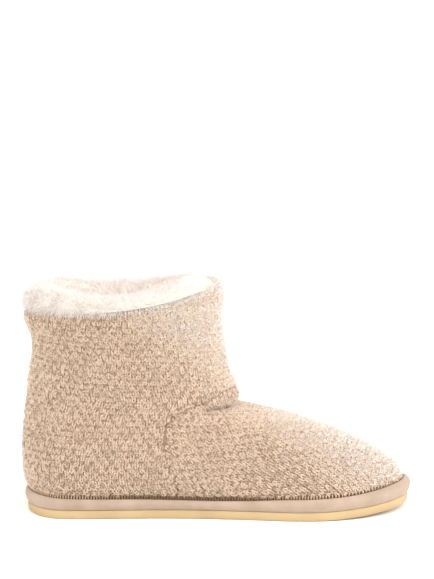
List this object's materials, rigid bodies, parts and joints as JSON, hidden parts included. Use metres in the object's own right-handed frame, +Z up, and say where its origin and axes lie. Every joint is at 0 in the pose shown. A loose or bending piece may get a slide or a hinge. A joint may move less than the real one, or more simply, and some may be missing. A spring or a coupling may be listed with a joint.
{
  "type": "knit slipper boot",
  "caption": "Ankle-high knit slipper boot for the right foot: marled knit upper, wrapped midsole, thin foam outsole, faux-fur collar and pile insole.",
  "frame": {"origin": "on the floor, under the middle of the outsole's length, on the heel's centre line", "axes": "+X towards the toe, +Z up, -Y towards the outer side of the foot"},
  "size_m": [0.2643, 0.1017, 0.1597],
  "materials": {
    "outsole_foam": "matte pale yellow foam rubber, fine crepe texture",
    "rand_suedette": "soft beige brushed cloth with a low satin sheen",
    "insole_pile": "matte white short pile",
    "upper_knit": "matte heathered knit, cream and brown-grey yarn",
    "collar_fur": "matte white deep faux fur"
  },
  "bodies": {
    "root": {"outsole": "outsole_foam", "midsole": "rand_suedette", "insole": "insole_pile", "upper": "upper_knit", "fur_collar": "collar_fur"}
  },
  "joints": []
}
